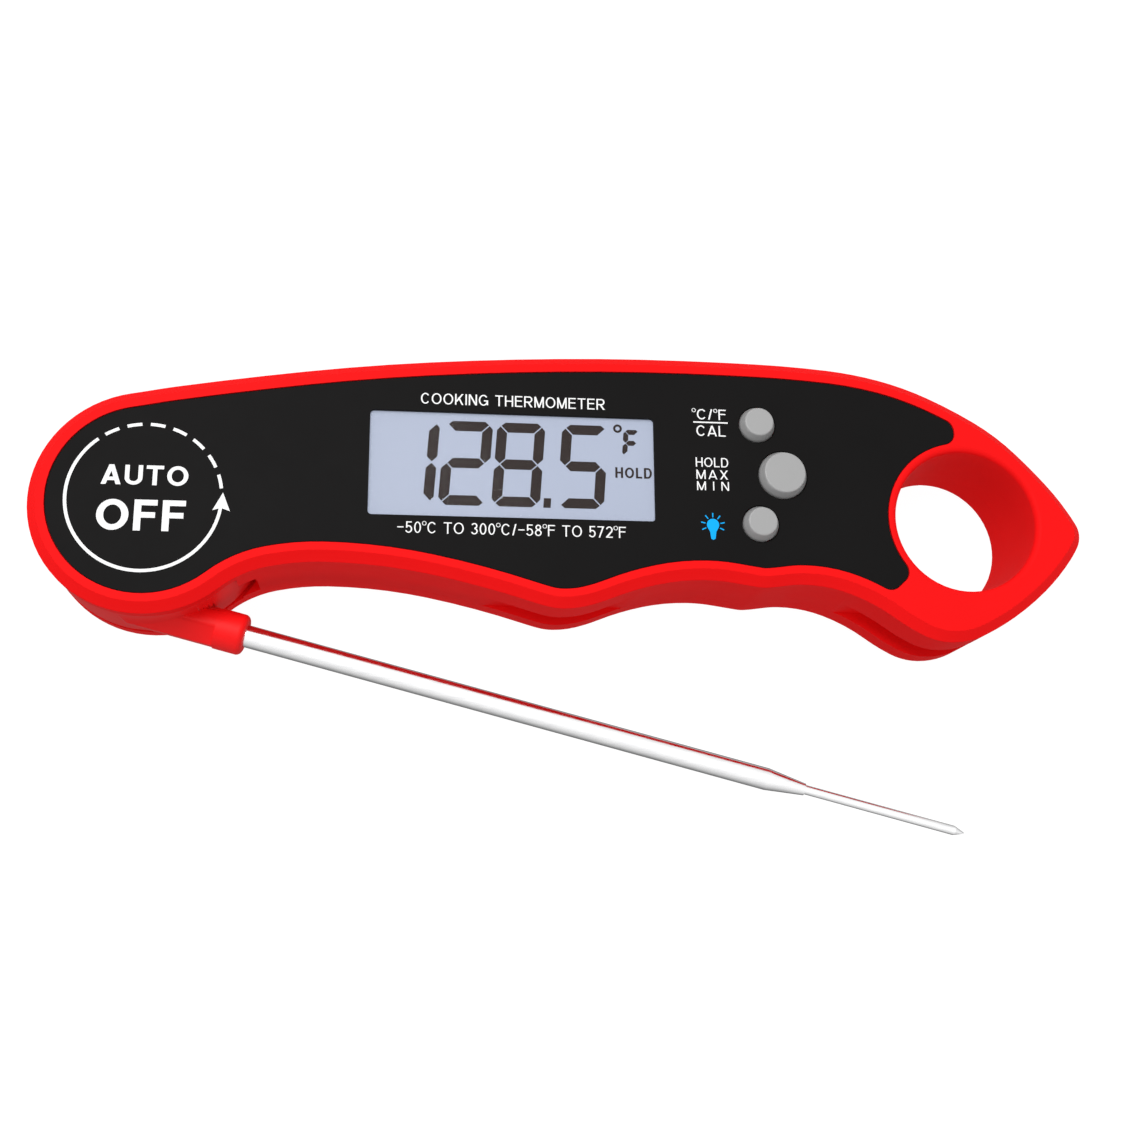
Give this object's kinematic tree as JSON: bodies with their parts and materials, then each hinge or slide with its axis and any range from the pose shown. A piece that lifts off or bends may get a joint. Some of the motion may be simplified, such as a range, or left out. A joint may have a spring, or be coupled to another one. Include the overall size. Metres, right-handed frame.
{
  "type": "folding meat thermometer",
  "caption": "Folding instant-read meat thermometer: a slim shell with a display, push keys and a hanging ring, and a steel probe that swings out on a hub.",
  "frame": {"origin": "foot of the probe's folding axis on the flat rear face", "axes": "+X from the folding axis to the hanging ring, +Y to the long smooth edge, +Z out of the display"},
  "size_m": [0.1642, 0.0746, 0.0204],
  "materials": {
    "red_abs": "satin moulded",
    "arm_abs": "gloss moulded",
    "black_plate": "fine satin",
    "clear_lens": "polished",
    "lcd_glass": "satin",
    "grey_key": "fine matte",
    "black_plastic": "matte",
    "white_plastic": "matte",
    "seal_rubber": "matte",
    "probe_steel": "polished stainless",
    "screw_steel": "zinc plated",
    "cell_steel": "nickel plated",
    "magnet_nickel": "nickel plated",
    "board_green": "solder mask",
    "component_black": "matte",
    "bush_acetal": "matte",
    "reed_glass": "clear",
    "lead_sleeve": "matte"
  },
  "bodies": {
    "housing": {"front_cover": "red_abs", "rear_cover": "red_abs", "housing_gasket": "seal_rubber", "housing_screws": "screw_steel", "face_plate": "black_plate", "display_window": "clear_lens", "lcd_panel": "lcd_glass", "lcd_gasket": "seal_rubber", "backlight_diffuser": "white_plastic", "backlight_leds": "white_plastic", "zebra_strips": "seal_rubber", "lcd_frame": "black_plastic", "circuit_board": "board_green", "board_screws": "screw_steel", "controller_chip": "component_black", "crystal": "screw_steel", "board_components": "component_black", "reed_switch": "reed_glass", "switch_bodies": "black_plastic", "keypad_seal": "seal_rubber", "battery": "cell_steel", "battery_contacts": "cell_steel", "battery_cover_seal": "seal_rubber", "rear_magnets": "magnet_nickel", "front_bush": "bush_acetal", "rear_bush": "bush_acetal", "front_pivot_seal": "seal_rubber", "rear_pivot_seal": "seal_rubber", "lead_cover": "red_abs", "board_leads": "lead_sleeve"},
    "folding_probe": {"probe_arm": "arm_abs", "arm_cover": "arm_abs", "arm_screws": "screw_steel", "hub_magnet": "magnet_nickel", "probe_tube": "probe_steel", "probe_needle": "probe_steel", "probe_seal": "seal_rubber", "thermistor": "component_black", "sensor_leads": "lead_sleeve"},
    "unit_button": {"unit_key": "grey_key", "unit_switch_plunger": "white_plastic"},
    "hold_button": {"hold_key": "grey_key", "hold_switch_plunger": "white_plastic"},
    "light_button": {"light_key": "grey_key", "light_switch_plunger": "white_plastic"},
    "battery_lid": {"battery_cover": "red_abs"}
  },
  "joints": [
    {"name": "probe_fold", "type": "hinge", "parent": "housing", "child": "folding_probe", "pos_m": [0, 0, 0.01], "axis": [0, 0, 1], "range_deg": [-165.2, 14.8]},
    {"name": "unit_press", "type": "slide", "parent": "housing", "child": "unit_button", "axis": [0, 0, -1], "range_m": [0, 0.0005], "stiffness_N_per_m": 800},
    {"name": "hold_press", "type": "slide", "parent": "housing", "child": "hold_button", "axis": [0, 0, -1], "range_m": [0, 0.0005], "stiffness_N_per_m": 800},
    {"name": "light_press", "type": "slide", "parent": "housing", "child": "light_button", "axis": [0, 0, -1], "range_m": [0, 0.0005], "stiffness_N_per_m": 800},
    {"name": "battery_lid_turn", "type": "hinge", "parent": "housing", "child": "battery_lid", "pos_m": [0.071, 0.0066, 0], "axis": [0, 0, 1], "range_deg": [-45, 0]}
  ]
}
